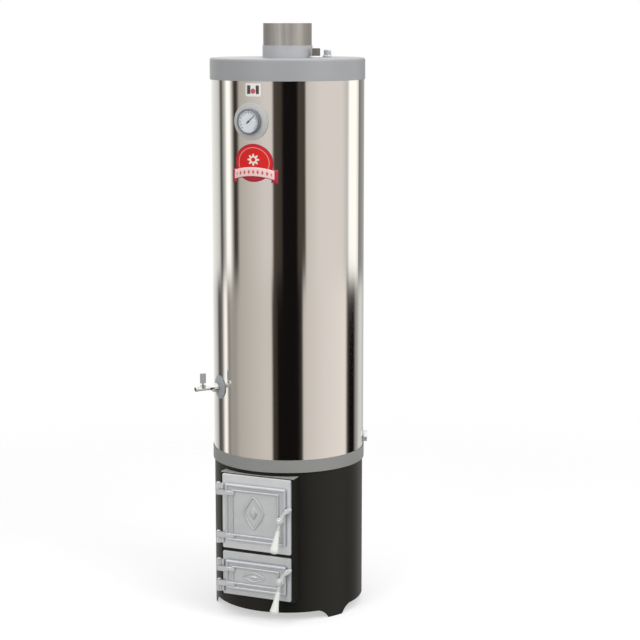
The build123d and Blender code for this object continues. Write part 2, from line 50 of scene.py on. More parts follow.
# A new object in the scene, at the origin
def newObject(name, data):
    piece = bpy.data.objects.new(name, data)
    bpy.context.scene.collection.objects.link(piece)
    return piece


# A mesh of quads over points[u, v], with optional texture coordinates of the same grid
def gridMesh(name, points, uv=None, closedU=False, closedV=False):
    nu, nv = points.shape[:2]
    index = np.arange(nu * nv).reshape(nu, nv)
    rows = np.concatenate([index, index[:1]]) if closedU else index
    full = np.concatenate([rows, rows[:, :1]], axis=1) if closedV else rows
    quads = np.stack([full[:-1, :-1], full[1:, :-1], full[1:, 1:], full[:-1, 1:]], -1).reshape(-1, 4)
    mesh = bpy.data.meshes.new(name)
    mesh.vertices.add(nu * nv)
    mesh.vertices.foreach_set("co", points.reshape(-1).astype(np.float32))
    mesh.loops.add(quads.size)
    mesh.loops.foreach_set("vertex_index", quads.reshape(-1).astype(np.int32))
    mesh.polygons.add(len(quads))
    mesh.polygons.foreach_set("loop_start", (np.arange(len(quads)) * 4).astype(np.int32))
    mesh.update(calc_edges=True)
    mesh.validate()
    mesh.polygons.foreach_set("use_smooth", np.ones(len(mesh.polygons), bool))
    if uv is not None:
        layer = mesh.uv_layers.new(name="uv")
        corners = np.zeros(len(mesh.loops), np.int32)
        mesh.loops.foreach_get("vertex_index", corners)
        layer.data.foreach_set("uv", uv.reshape(-1, 2)[corners].reshape(-1).astype(np.float32))
    return newObject(name, mesh)


# Merges the points that lie on a pole; a closed shape also gets faces that point outwards
def weld(piece, closed=False):
    shape = bmesh.new()
    shape.from_mesh(piece.data)
    bmesh.ops.remove_doubles(shape, verts=shape.verts, dist=mergeDistance)
    if closed:
        bmesh.ops.recalc_face_normals(shape, faces=shape.faces)
    shape.to_mesh(piece.data)
    shape.free()
    return piece


# Gives a sheet its thickness, half to each side
def thicken(piece, depth):
    solid = piece.modifiers.new("thickness", "SOLIDIFY")
    solid.thickness = depth
    solid.offset = 0


# Gives a piece its material and the body that it moves with
def addPiece(piece, body, material):
    piece.data.materials.append(material)
    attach(piece, body)


# Even angles once round, as a column
def anglesRound(count):
    return np.linspace(0, fullTurn, count, endpoint=False)[:, None]


# Cosine, sine and reach of the curve |x| ** power + |y| ** power = 1, at even angles once round
def superCurve(power, count):
    angle = anglesRound(count)
    c, s = np.cos(angle), np.sin(angle)
    return c, s, (np.abs(c) ** power + np.abs(s) ** power) ** (-1 / power)


# Flat patch inside that curve, side = rho * reach * cos and up = rho * reach * sin, with rho from 0 to 1
def roundedPatch(spec):
    c, s, reach = (column.T for column in superCurve(spec["power"], spec["columns"]))
    rho = np.linspace(0, 1, spec["rings"])[:, None]
    x, y = rho * reach * c, rho * reach * s
    return x * spec["halfWidth"], y * spec["halfHeight"], np.stack([x, y], -1) / 2 + 0.5


# Wraps flat (side, up) coordinates round the heater's axis: the angle grows by side / radius
def onCylinder(side, up, radius, azimuth, z):
    angle = math.radians(azimuth) + side / radius
    return np.stack([radius * np.sin(angle), axisY - radius * np.cos(angle), z + up + 0 * angle], -1)


# Flat (side, up) coordinates on an upright plane that faces an azimuth, at a depth from the axis
def onPlane(side, up, depth, azimuth, z):
    a = math.radians(azimuth)
    x = depth * math.sin(a) + side * math.cos(a)
    y = axisY - depth * math.cos(a) + side * math.sin(a)
    return np.stack([x, y, z + up + 0 * side], -1)


# Closed loop of radii and heights, turned round an upright axis at (x, y)
def turnedSolid(name, x, y, r, h, count):
    angle = anglesRound(count)
    points = np.stack([x + r * np.cos(angle), y + r * np.sin(angle), h + 0 * angle], -1)
    return weld(gridMesh(name, points, closedU=True, closedV=True), closed=True)


# A thin print wrapped on the jacket, its middle line one lift outside it
def addSticker(name, spec, material):
    side, up, uv = roundedPatch(spec)
    points = onCylinder(side, up, jacketR + spec["lift"], spec["azimuth"], spec["z"])
    piece = weld(gridMesh(name, points, uv, closedV=True))
    thicken(piece, spec["thickness"])
    addPiece(piece, "heater", material)


# A new material, its node tree and its main shader
def newMaterial(name):
    material = bpy.data.materials.new(name)
    material.use_nodes = True
    tree = material.node_tree
    return material, tree, tree.nodes["Principled BSDF"]


# A shader node with its settings
def addNode(tree, kind, **values):
    node = tree.nodes.new(kind)
    for key, value in values.items():
        setattr(node, key, value)
    return node


# Sets an input: a number, vector or colour as its own value, and anything else as a link
def feed(tree, socket, value):
    if isinstance(value, (int, float)):
        socket.default_value = value
    elif isinstance(value, (tuple, list)):
        socket.default_value = (*value, 1)[:len(socket.default_value)]
    else:
        tree.links.new(value, socket)


# One step of arithmetic on numbers and node outputs
def calc(tree, operation, *values, clamp=False):
    node = addNode(tree, "ShaderNodeMath", operation=operation, use_clamp=clamp)
    for socket, value in zip(node.inputs, values):
        feed(tree, socket, value)
    return node.outputs[0]


# Distance of a value from a fixed one, without its sign
def gapTo(tree, value, middle):
    return calc(tree, "ABSOLUTE", calc(tree, "SUBTRACT", value, middle))


# One minus the value
def inverse(tree, value):
    return calc(tree, "SUBTRACT", 1.0, value)


# The first colour where the factor is 0, the second where it is 1
def mixColour(tree, factor, first, second):
    node = addNode(tree, "ShaderNodeMix", data_type="RGBA")
    for socket, value in ((node.inputs[0], factor), (node.inputs[6], first), (node.inputs[7], second)):
        feed(tree, socket, value)
    return node.outputs[2]


# The first shader where the factor is 0, the second where it is 1
def mixShader(tree, factor, first, second):
    node = addNode(tree, "ShaderNodeMixShader")
    for socket, value in zip(node.inputs, (factor, first, second)):
        tree.links.new(value, socket)
    return node.outputs[0]


# 0 below low and 1 above high, with a smooth slope between them
def smoothStep(tree, value, low, high):
    node = addNode(tree, "ShaderNodeMapRange", interpolation_type="SMOOTHSTEP")
    for socket, given in zip(node.inputs, (value, low, high)):
        feed(tree, socket, given)
    return node.outputs[0]


# A vector times a vector, axis by axis
def stretch(tree, vector, scale):
    node = addNode(tree, "ShaderNodeVectorMath", operation="MULTIPLY")
    feed(tree, node.inputs[0], vector)
    feed(tree, node.inputs[1], scale)
    return node.outputs[0]


# A colour times a number
def shadeBy(tree, colour, factor):
    node = addNode(tree, "ShaderNodeVectorMath", operation="SCALE")
    feed(tree, node.inputs[0], colour)
    feed(tree, node.inputs["Scale"], factor)
    return node.outputs[0]


# Smooth noise from 0 to 1, with the size of its patches as 1 / scale
def noise(tree, vector, scale, detail):
    node = addNode(tree, "ShaderNodeTexNoise")
    for name, value in (("Vector", vector), ("Scale", scale), ("Detail", detail)):
        feed(tree, node.inputs[name], value)
    return node.outputs["Fac"]


# A bump whose height runs over the given distance in metres
def bump(tree, height, strength, distance):
    node = addNode(tree, "ShaderNodeBump")
    for name, value in (("Height", height), ("Strength", strength), ("Distance", distance)):
        feed(tree, node.inputs[name], value)
    return node


# The three parts of a vector
def splitVector(tree, vector):
    node = addNode(tree, "ShaderNodeSeparateXYZ")
    feed(tree, node.inputs[0], vector)
    return node.outputs


# Where a point of the piece lies, in metres
def objectPlace(tree):
    return addNode(tree, "ShaderNodeTexCoord").outputs["Object"]


# A new print: its material, tree and shader, and the two texture coordinates of its piece
def newPrint(name):
    material, tree, shader = newMaterial(name)
    u, v, _ = splitVector(tree, addNode(tree, "ShaderNodeUVMap", uv_map="uv").outputs[0])
    return material, tree, shader, u, v


# Two differences from a point in texture coordinates, and their distance: sqrt(x * x + y * y)
def fromPoint(tree, u, v, centre, squash=None):
    x = calc(tree, "SUBTRACT", u, centre[0])
    y = calc(tree, "SUBTRACT", v, centre[1])
    if squash:
        y = calc(tree, "MULTIPLY", y, squash)  # for an upright oval
    squares = calc(tree, "ADD", calc(tree, "MULTIPLY", x, x), calc(tree, "MULTIPLY", y, y))
    return x, y, calc(tree, "SQRT", squares)


# What the shared surface group takes: its socket, the socket's kind, and the value where a look gives none
wearAndShadeInputs = {
    "tone": ("Tone", "NodeSocketColor", (0.5, 0.5, 0.5)),
    "toneChange": ("Tone Change", "NodeSocketFloat", 0.1),
    "patchScale": ("Patch Scale", "NodeSocketFloat", 12.0),
    "roughness": ("Roughness", "NodeSocketFloat", 0.4),
    "roughChange": ("Roughness Change", "NodeSocketFloat", 0.1),
    "grainScale": ("Grain Scale", "NodeSocketFloat", 600.0),
    "grainDepth": ("Grain Depth", "NodeSocketFloat", 0.1),
    "edge": ("Edge Radius", "NodeSocketFloat", 0.0006),
    "stretch": ("Stretch", "NodeSocketVector", (1, 1, 1)),
    "recessShade": ("Recess Shade", "NodeSocketFloat", 0.0),
}
wearAndShadeOutputs = {"Colour": "NodeSocketColor", "Roughness": "NodeSocketFloat", "Normal": "NodeSocketVector"}
# recessReach and recessSamples set the painted shade in recesses; the rest is grain, noise and edge
# rounding
wearAndShade = {"patchDetail": 5, "grainDetail": 3, "grainHeight": 0.0005, "recessReach": 0.006,
        "recessSamples": 6, "edgeSamples": 4}


# Uneven tone and roughness from one broad noise, painted shade that darkens recesses by ambient occlusion,
# rounded edges and a fine grain
def makeSurfaceGroup():
    group = bpy.data.node_groups.new("surface_wear_and_painted_shade", "ShaderNodeTree")
    for name, kind, _ in wearAndShadeInputs.values():
        group.interface.new_socket(name, in_out="INPUT", socket_type=kind)
    for name, kind in wearAndShadeOutputs.items():
        group.interface.new_socket(name, in_out="OUTPUT", socket_type=kind)
    start = group.nodes.new("NodeGroupInput").outputs
    end = group.nodes.new("NodeGroupOutput").inputs
    place = stretch(group, objectPlace(group), start["Stretch"])
    swing = calc(group, "SUBTRACT", noise(group, place, start["Patch Scale"], wearAndShade["patchDetail"]), 0.5)
    # Painted shade: ambient occlusion darkens the colour in recesses and between parts, as far as Recess
    # Shade asks
    hollow = addNode(group, "ShaderNodeAmbientOcclusion", samples=wearAndShade["recessSamples"])
    feed(group, hollow.inputs["Distance"], wearAndShade["recessReach"])
    paintedRecessShade = calc(group, "MULTIPLY", inverse(group, hollow.outputs["AO"]), start["Recess Shade"])
    shade = calc(group, "MULTIPLY_ADD", swing, start["Tone Change"], 1.0)
    shade = calc(group, "MULTIPLY", shade, inverse(group, paintedRecessShade))
    feed(group, end["Colour"], shadeBy(group, start["Tone"], shade))
    rough = calc(group, "MULTIPLY_ADD", swing, start["Roughness Change"], start["Roughness"], clamp=True)
    feed(group, end["Roughness"], rough)
    rounded = addNode(group, "ShaderNodeBevel", samples=wearAndShade["edgeSamples"])
    feed(group, rounded.inputs["Radius"], start["Edge Radius"])
    grain = noise(group, place, start["Grain Scale"], wearAndShade["grainDetail"])
    relief = bump(group, grain, start["Grain Depth"], wearAndShade["grainHeight"])
    feed(group, relief.inputs["Normal"], rounded.outputs[0])
    feed(group, end["Normal"], relief.outputs[0])
    return group


surfaceGroup = makeSurfaceGroup()


# A material whose colour, roughness and normal come from the shared group
def surface(name, metallic=0.0, specular=0.5, **look):
    material, tree, shader = newMaterial(name)
    group = addNode(tree, "ShaderNodeGroup", node_tree=surfaceGroup)
    for key, (socket, _, usual) in wearAndShadeInputs.items():
        feed(tree, group.inputs[socket], look.get(key, usual))
    for output, socket in (("Colour", "Base Color"), ("Roughness", "Roughness"), ("Normal", "Normal")):
        tree.links.new(group.outputs[output], shader.inputs[socket])
    feed(tree, shader.inputs["Metallic"], metallic)
    feed(tree, shader.inputs["Specular IOR Level"], specular)
    return material


# The looks by name. A name that is a material slot of the record is put on every node of that slot
looks = {
    "black_enamel": dict(tone=(0.007, 0.007, 0.005), roughness=0.44, toneChange=0.5, patchScale=5,
                         grainScale=900, grainDepth=0.12, edge=0.001, specular=0.32),
    "raw_steel": dict(tone=(0.32, 0.31, 0.30), metallic=0.9, roughness=0.5, toneChange=0.5),
    "grate_iron": dict(tone=(0.085, 0.08, 0.075), metallic=0.3, roughness=0.75, toneChange=0.6,
                       grainScale=350, grainDepth=0.6),
    "flue_steel": dict(tone=(0.56, 0.54, 0.51), metallic=0.85, roughness=0.46, toneChange=0.9,
                       patchScale=1.0, grainScale=3, grainDepth=0.15, stretch=(60, 60, 1.5)),
    "grey_paint": dict(tone=(0.343, 0.349, 0.361), roughness=0.38, toneChange=0.06,
                       grainScale=1400, grainDepth=0.05, edge=0.0008),
    "collar_paint": dict(tone=(0.429, 0.435, 0.448), roughness=0.38, toneChange=0.06,
                         grainScale=1400, grainDepth=0.05, edge=0.0008),
    "ring_paint": dict(tone=(0.291, 0.295, 0.284), roughness=0.5, toneChange=0.08,
                       grainScale=1400, grainDepth=0.05, edge=0.0008),
    # The box ledge's look is painted light: a much lighter copy of the black enamel, for the light and
    # reflections that its top catches from above
    "ledge_painted_light": dict(tone=(0.371, 0.378, 0.346), roughness=0.4, toneChange=0.3, grainDepth=0.1),
    "silver_casting": dict(tone=(0.68, 0.709, 0.736), metallic=0.5, roughness=0.36, toneChange=0.18,
                           patchScale=30, grainScale=420, grainDepth=0.35, edge=0.001, recessShade=0.7),
    # The firebox frame's look is painted light: a brighter copy of silver_casting with less recess shade,
    # for the light that falls on it from above
    "frame_casting_painted_light": dict(tone=(0.786, 0.814, 0.842), metallic=0.5, roughness=0.36, toneChange=0.18,
                          patchScale=30, grainScale=420, grainDepth=0.35, edge=0.001, recessShade=0.4),
    "plated_steel": dict(tone=(0.816, 0.827, 0.849), metallic=0.5, roughness=0.3, toneChange=0.15,
                         recessShade=0.6),
    "dark_steel": dict(tone=(0.20, 0.19, 0.17), metallic=0.8, roughness=0.42, toneChange=0.4),
    "tap_chrome": dict(tone=(0.72, 0.72, 0.72), metallic=1.0, roughness=0.1, toneChange=0.05,
                       grainDepth=0.02),
    "white_grip": dict(tone=(0.84, 0.864, 0.816), roughness=0.28, toneChange=0.04, grainDepth=0.02),
    "grey_plastic": dict(tone=(0.371, 0.384, 0.397), roughness=0.38, toneChange=0.04, grainDepth=0.04),
    "rosette_plastic": dict(tone=(0.50, 0.50, 0.495), roughness=0.38, toneChange=0.04, grainDepth=0.04),
    "gauge_bezel": dict(tone=(0.20, 0.22, 0.25), metallic=0.5, roughness=0.34, toneChange=0.05,
                        grainDepth=0.03),
    "dial_white": dict(tone=(0.90, 0.95, 0.99), roughness=0.5, toneChange=0.02, grainDepth=0.0),
    "needle_black": dict(tone=(0.04, 0.04, 0.05), roughness=0.4),
    "plate_white": dict(tone=(0.84, 0.82, 0.78), roughness=0.35, toneChange=0.03, grainDepth=0.0),
    "ribbon_red": dict(tone=(0.45, 0.022, 0.055), roughness=0.35, toneChange=0.05, grainDepth=0.0),
}
# Of these, the box ledge and firebox frame looks are painted light, lighter copies of their slot's look
nodeLooks = {  # nodes whose look isn't that of their slot
    "box_ledge": "ledge_painted_light", "gauge_case": "gauge_bezel", "flue_collar": "collar_paint",
    "firebox_frame": "frame_casting_painted_light", "gauge_rosette": "rosette_plastic",
}
mirror = {
    "tone": (0.80, 0.79, 0.77), "roughness": 0.055, "brushRoughness": 0.04,
    "waveScale": (9, 9, 1.6), "waveDetail": 1, "waveStrength": 0.25, "waveHeight": 0.002,
    "brushScale": (1500, 1500, 6), "brushDetail": 2,
}
glass = {"Roughness": 0.02, "IOR": 1.45, "Transmission Weight": 1.0}
# Painted shade on the flue: dark upright bands set where its sides are seen from the camera
flueShadeBands = {"count": 3, "azimuth": 84, "depth": 0.45, "from": -0.2}


# Polished sheet: an even mirror with long shallow waves and very fine upright brush lines
def makeMirrorSteel():
    material, tree, shader = newMaterial("mirror_steel")
    place = objectPlace(tree)
    wave = noise(tree, stretch(tree, place, mirror["waveScale"]), 1.0, mirror["waveDetail"])
    relief = bump(tree, wave, mirror["waveStrength"], mirror["waveHeight"])
    brush = noise(tree, stretch(tree, place, mirror["brushScale"]), 1.0, mirror["brushDetail"])
    rough = calc(tree, "MULTIPLY_ADD", brush, mirror["brushRoughness"], mirror["roughness"])
    feed(tree, shader.inputs["Base Color"], mirror["tone"])
    feed(tree, shader.inputs["Metallic"], 1.0)
    feed(tree, shader.inputs["Roughness"], rough)
    feed(tree, shader.inputs["Normal"], relief.outputs[0])
    return material


# Clear glass that bends what the camera sees, and lets the light on to the dial pass straight through
def makeGlass():
    material, tree, shader = newMaterial("clear_glass")
    for name, value in glass.items():
        feed(tree, shader.inputs[name], value)
    path = addNode(tree, "ShaderNodeLightPath").outputs
    passed = calc(tree, "MAXIMUM", path["Is Shadow Ray"], path["Is Diffuse Ray"])
    clear = addNode(tree, "ShaderNodeBsdfTransparent").outputs[0]
    both = mixShader(tree, passed, shader.outputs[0], clear)
    feed(tree, tree.nodes["Material Output"].inputs["Surface"], both)
    return material


# Painted shade: darker upright bands round the flue, two of them where its sides are seen from the camera,
# in place of the dark reflections there: 1 - depth * smoothstep(cos(count * (azimuth - first azimuth)))
def addPaintedShadeBands(material, spec):
    tree = material.node_tree
    base = tree.nodes["Principled BSDF"].inputs["Base Color"]
    x, y, _ = splitVector(tree, objectPlace(tree))
    front = calc(tree, "MULTIPLY", calc(tree, "SUBTRACT", y, axisY), -1.0)
    turn = calc(tree, "SUBTRACT", calc(tree, "ARCTAN2", x, front), math.radians(spec["azimuth"]))
    wave = calc(tree, "COSINE", calc(tree, "MULTIPLY", turn, spec["count"]))
    band = smoothStep(tree, wave, spec["from"], 1.0)
    factor = calc(tree, "MULTIPLY_ADD", band, -spec["depth"], 1.0)
    feed(tree, base, shadeBy(tree, base.links[0].from_socket, factor))


materials = {name: surface(name, **look) for name, look in looks.items()}
materials["mirror_steel"] = makeMirrorSteel()
materials["clear_glass"] = makeGlass()
addPaintedShadeBands(materials["flue_steel"], flueShadeBands)
slotOf = {part["node"]: part["material_slot"] for part in frame["record"]["subparts"]}
for name, piece in nodes.items():
    material = materials[nodeLooks.get(name, slotOf[name])]
    for holder in piece.material_slots:
        holder.material = material
    if not piece.material_slots:
        piece.data.materials.append(material)
print("materials made")


# Small printed plate above the gauge. A block's middle and half size, and the disc, run from 0 to 1 on it
labelPlate = {
    "halfWidth": 0.0215, "halfHeight": 0.0165, "power": 14, "rings": 10, "columns": 96,
    "azimuth": -1.2, "z": 1.3672, "lift": 0.0005, "thickness": 0.0006,
    "blocks": ((0.23, 0.53, 0.11, 0.32), (0.78, 0.53, 0.10, 0.32)),
    "disc": (0.505, 0.42), "discRadius": 0.15, "discSquash": 0.77, "roughness": 0.35,
    "white": (0.84, 0.82, 0.78), "dark": (0.06, 0.05, 0.05), "pink": (0.52, 0.09, 0.16),
}


# White plate with two dark blocks and a pink disc between them
def makeLabelPrint(spec):
    material, tree, shader, u, v = newPrint("label_print")
    colour = spec["white"]
    for x, y, halfWidth, halfHeight in spec["blocks"]:
        across = calc(tree, "LESS_THAN", gapTo(tree, u, x), halfWidth)
        upright = calc(tree, "LESS_THAN", gapTo(tree, v, y), halfHeight)
        colour = mixColour(tree, calc(tree, "MULTIPLY", across, upright), colour, spec["dark"])
    _, _, reach = fromPoint(tree, u, v, spec["disc"], spec["discSquash"])
    inside = calc(tree, "LESS_THAN", reach, spec["discRadius"])
    feed(tree, shader.inputs["Base Color"], mixColour(tree, inside, colour, spec["pink"]))
    feed(tree, shader.inputs["Roughness"], spec["roughness"])
    return material


addSticker("label_plate", labelPlate, makeLabelPrint(labelPlate))

# Round red seal. Places, radii and slopes of its print run from 0 to 1 across it
seal = {
    "halfWidth": 0.0530, "halfHeight": 0.0475, "power": 2, "rings": 12, "columns": 96,
    "azimuth": -1.3, "z": 1.1870, "lift": 0.0004, "thickness": 0.0004, "roughness": 0.45, "specular": 0.3,
    "sunAt": (0.5, 0.585), "rays": 8, "rayLength": 0.035, "sunRadius": 0.125, "sunSoft": 0.004,
    "sunHole": (0.052, 0.06), "line": 0.40, "lineHalf": (0.006, 0.012), "lineStrength": 0.75,
    "rim": (0.45, 0.465), "foot": (0.17, 0.19),
    "red": (0.70, 0.014, 0.014), "rimRed": (0.45, 0.018, 0.040),
    "lineTone": (0.80, 0.45, 0.40), "sunTone": (0.85, 0.80, 0.68),
}


# Red disc with a darker rim and foot, a thin pale ring, and a sun: radius + rayLength * cos(rays * angle)
def makeSealPrint(spec):
    material, tree, shader, u, v = newPrint("seal_print")
    _, _, reach = fromPoint(tree, u, v, (0.5, 0.5))
    x, y, fromSun = fromPoint(tree, u, v, spec["sunAt"])
    ray = calc(tree, "COSINE", calc(tree, "MULTIPLY", calc(tree, "ARCTAN2", y, x), spec["rays"]))
    sunEdge = calc(tree, "MULTIPLY_ADD", ray, spec["rayLength"], spec["sunRadius"])
    sun = smoothStep(tree, calc(tree, "SUBTRACT", sunEdge, fromSun), -spec["sunSoft"], spec["sunSoft"])
    sun = calc(tree, "MULTIPLY", sun, smoothStep(tree, fromSun, *spec["sunHole"]))
    aboveFoot = smoothStep(tree, v, *spec["foot"])
    ring = inverse(tree, smoothStep(tree, gapTo(tree, reach, spec["line"]), *spec["lineHalf"]))
    ring = calc(tree, "MULTIPLY", calc(tree, "MULTIPLY", ring, aboveFoot), spec["lineStrength"])
    rim = calc(tree, "MAXIMUM", smoothStep(tree, reach, *spec["rim"]), inverse(tree, aboveFoot))
    red = mixColour(tree, rim, spec["red"], spec["rimRed"])
    red = mixColour(tree, ring, red, spec["lineTone"])
    feed(tree, shader.inputs["Base Color"], mixColour(tree, sun, red, spec["sunTone"]))
    feed(tree, shader.inputs["Roughness"], spec["roughness"])
    feed(tree, shader.inputs["Specular IOR Level"], spec["specular"])
    return material


addSticker("seal_disc", seal, makeSealPrint(seal))

# Ribbon across the seal, and the two tails behind its ends
ribbon = {
    "from": -0.0560, "to": 0.0560, "halfLength": 0.0560, "width": 0.0240, "z": 1.1645, "sag": -0.0085,
    "columns": 61, "rows": 7, "lift": 0.0013, "thickness": 0.0004,
    "marks": 9, "markSize": (0.26, 0.32), "markSquash": 1.2, "ends": (0.44, 0.445), "hem": 0.07,
    "ground": (0.93, 0.63, 0.61), "mark": (0.52, 0.14, 0.15), "roughness": 0.35,
}
ribbonTail = {
    "halfLength": 0.0650, "width": 0.0340, "z": 1.1590, "sag": -0.0060,
    "columns": 12, "rows": 7, "lift": 0.0008, "thickness": 0.0004,
}
tailSpans = {"seal_tail_left": (-0.0635, -0.0480), "seal_tail_right": (0.0480, 0.0650)}


# A row of small lozenges, |part of a mark's length| + squash * |v| under a size, and a dark hem below
def makeRibbonPrint(spec):
    material, tree, shader, u, v = newPrint("ribbon_print")
    along = gapTo(tree, calc(tree, "FRACT", calc(tree, "MULTIPLY", u, spec["marks"])), 0.5)
    size = calc(tree, "MULTIPLY_ADD", gapTo(tree, v, 0.5), spec["markSquash"], along)
    marks = inverse(tree, smoothStep(tree, size, *spec["markSize"]))
    inner = inverse(tree, smoothStep(tree, gapTo(tree, u, 0.5), *spec["ends"]))
    colour = mixColour(tree, calc(tree, "MULTIPLY", marks, inner), spec["ground"], spec["mark"])
    hem = calc(tree, "LESS_THAN", v, spec["hem"])
    feed(tree, shader.inputs["Base Color"], mixColour(tree, hem, colour, looks["ribbon_red"]["tone"]))
    feed(tree, shader.inputs["Roughness"], spec["roughness"])
    return material


# Band on the jacket from one side place to another; its middle line is z + sag * (side / halfLength) ** 2
def addRibbon(name, spec, material):
    side = np.linspace(spec["from"], spec["to"], spec["columns"])[:, None]
    across = np.linspace(-0.5, 0.5, spec["rows"])[None, :]
    share = side / spec["halfLength"]
    up = spec["sag"] * share ** 2 + spec["width"] * across
    uv = np.stack([share / 2 + 0.5 + 0 * across, across + 0.5 + 0 * side], -1)
    points = onCylinder(side + 0 * across, up, jacketR + spec["lift"], seal["azimuth"], spec["z"])
    band = gridMesh(name, points, uv)
    thicken(band, spec["thickness"])
    addPiece(band, "heater", material)


addRibbon("seal_ribbon", ribbon, makeRibbonPrint(ribbon))
for name, (start, end) in tailSpans.items():
    addRibbon(name, {**ribbonTail, "from": start, "to": end}, materials["ribbon_red"])
print("label and seal made")


# Raised lozenges cast on the door leaves, each a ring round a stud; their backs lie inside the leaf
emblems = {
    "firebox": {"x": -0.004, "z": 0.287, "ring": (0.027, 0.042), "line": 0.006, "ringRise": 0.0030,
                "stud": (0.011, 0.018), "studRise": 0.0034},
    "ash": {"x": -0.004, "z": 0.116, "ring": (0.030, 0.0125), "line": 0.005, "ringRise": 0.0025,
            "stud": (0.012, 0.005), "studRise": 0.0030},
}
emblemShape = {
    "sunk": 0.0003, "ringPower": 1.25, "ringColumns": 128, "ringSteps": 9,
    "studPower": 1.3, "studColumns": 64, "studSteps": 12, "studFall": 2.5, "studBack": 0.0006,
}


# One raised piece of a door's emblem, lying on the leaf and moving with that door
def addEmblem(door, kind, side, up, lift, closedV):
    spec = emblems[door]
    points = np.stack([spec["x"] + side, axisY - leafFront - lift, spec["z"] + up], -1)
    piece = weld(gridMesh(door + "_emblem_" + kind, points, closedU=True, closedV=closedV), closed=True)
    addPiece(piece, door + "_door", materials["silver_casting"])


# Closed ridge along the lozenge curve, its section a half round with a flat back
def lozengeRing(door):
    spec = emblems[door]
    c, s, reach = superCurve(emblemShape["ringPower"], emblemShape["ringColumns"])
    section = np.linspace(0, math.pi, emblemShape["ringSteps"])[None, :]
    out = -np.cos(section) * spec["line"] / 2
    side = (spec["ring"][0] * reach + out) * c
    up = (spec["ring"][1] * reach + out) * s
    lift = spec["ringRise"] * np.sin(section) - emblemShape["sunk"] + 0 * c
    addEmblem(door, "ring", side, up, lift, True)


# Low stud: height rise * (1 - rho ** fall), with rho from 0 to 1 across the lozenge, and a flat back
def lozengeStud(door):
    spec = emblems[door]
    c, s, reach = superCurve(emblemShape["studPower"], emblemShape["studColumns"])
    rho = np.linspace(0, 1, emblemShape["studSteps"])
    rise = spec["studRise"] * (1 - rho ** emblemShape["studFall"])
    lift = np.append(rise, [-emblemShape["studBack"]] * 2)[None, :] + 0 * c
    rho = np.append(rho, [1, 0])[None, :] * reach
    addEmblem(door, "stud", spec["stud"][0] * rho * c, spec["stud"][1] * rho * s, lift, False)


for door in emblems:
    lozengeRing(door)
    lozengeStud(door)

# Print on the dial
dialMarks = {
    "azimuth": -3.0, "z": 1.290, "depth": 0.2111, "thickness": 0.0001, "count": 61, "longEvery": 5,
    "firstAngle": -135, "lastAngle": 135, "outer": 0.0255, "shortInner": 0.0225, "longInner": 0.0195,
    "shortWidth": 0.0004, "longWidth": 0.0008,
}


# Ticks as thin radial plates, evenly from the first to the last angle from the top, some of them longer
def addDialMarks(spec):
    count = spec["count"]
    angle = np.radians(np.linspace(spec["firstAngle"], spec["lastAngle"], count))
    isLong = np.arange(count) % spec["longEvery"] == 0
    inner = np.where(isLong, spec["longInner"], spec["shortInner"])
    half = np.where(isLong, spec["longWidth"], spec["shortWidth"]) / 2
    outer = np.full(count, spec["outer"])
    out = np.stack([np.sin(angle), np.cos(angle)], -1)
    across = np.stack([np.cos(angle), -np.sin(angle)], -1)
    corners = [out * radius[:, None] + across * (sign * half)[:, None]
               for radius, sign in ((inner, -1), (inner, 1), (outer, 1), (outer, -1))]
    flat = np.stack(corners, 1).reshape(-1, 2)
    points = onPlane(flat[:, 0], flat[:, 1], spec["depth"], spec["azimuth"], spec["z"])
    mesh = bpy.data.meshes.new("dial_marks")
    mesh.from_pydata(points.tolist(), [], np.arange(len(points)).reshape(-1, 4).tolist())
    marks = newObject("dial_marks", mesh)
    thicken(marks, spec["thickness"])
    addPiece(marks, "heater", materials["needle_black"])


addDialMarks(dialMarks)

# Thread on the cold inlet, and the pale washer under the hexagon outlet, its section as radii and heights
thread = {
    "x": 0.085, "y": axisY + 0.062, "low": 1.4506, "high": 1.4632, "radius": 0.00902, "inner": 0.0088,
    "depth": 0.0010, "pitch": 0.0018, "stepsPerPitch": 10, "columns": 72,
}
washer = {
    "x": 0.085, "y": axisY - 0.010, "z": 1.444, "columns": 64,
    "radii": (0.0108, 0.0165, 0.0165, 0.0155, 0.0112), "heights": (0.0001, 0.0001, 0.0035, 0.0048, 0.0048),
}


# Helical ridge: radius + depth * (0.5 + 0.5 * cos(2 pi h / pitch - angle)), faded out at both ends
def addThread(spec):
    low, high, pitch = spec["low"], spec["high"], spec["pitch"]
    angle = anglesRound(spec["columns"])
    h = np.linspace(low, high, int((high - low) / pitch * spec["stepsPerPitch"]) + 1)[None, :]
    wave = 0.5 + 0.5 * np.cos(fullTurn * h / pitch - angle)
    fade = np.clip(np.minimum(h - low, high - h) / pitch, 0, 1)
    ends = np.full_like(angle, spec["inner"])
    r = np.concatenate([ends, spec["radius"] + spec["depth"] * wave * fade, ends], 1)
    h = np.concatenate([h[:, :1], h, h[:, -1:]], 1)
    piece = turnedSolid("cold_inlet_thread", spec["x"], spec["y"], r, h, spec["columns"])
    addPiece(piece, "heater", materials["plated_steel"])


# Flat ring with a bevelled shoulder, its section turned round the outlet's axis
def addWasher(spec):
    r = np.array(spec["radii"])[None, :]
    h = spec["z"] + np.array(spec["heights"])[None, :]
    piece = turnedSolid("outlet_washer", spec["x"], spec["y"], r, h, spec["columns"])
    addPiece(piece, "heater", materials["plate_white"])


addThread(thread)
addWasher(washer)
print("fittings made")

# Floor that fades out into the white surroundings; glossy rays pass it, so the jacket shows the room
floorLook = {"radius": 6.0, "rings": 40, "columns": 96, "below": 0.0002, "fade": (0.5, 2.6),
             "grey": 0.62, "lift": 0.50}


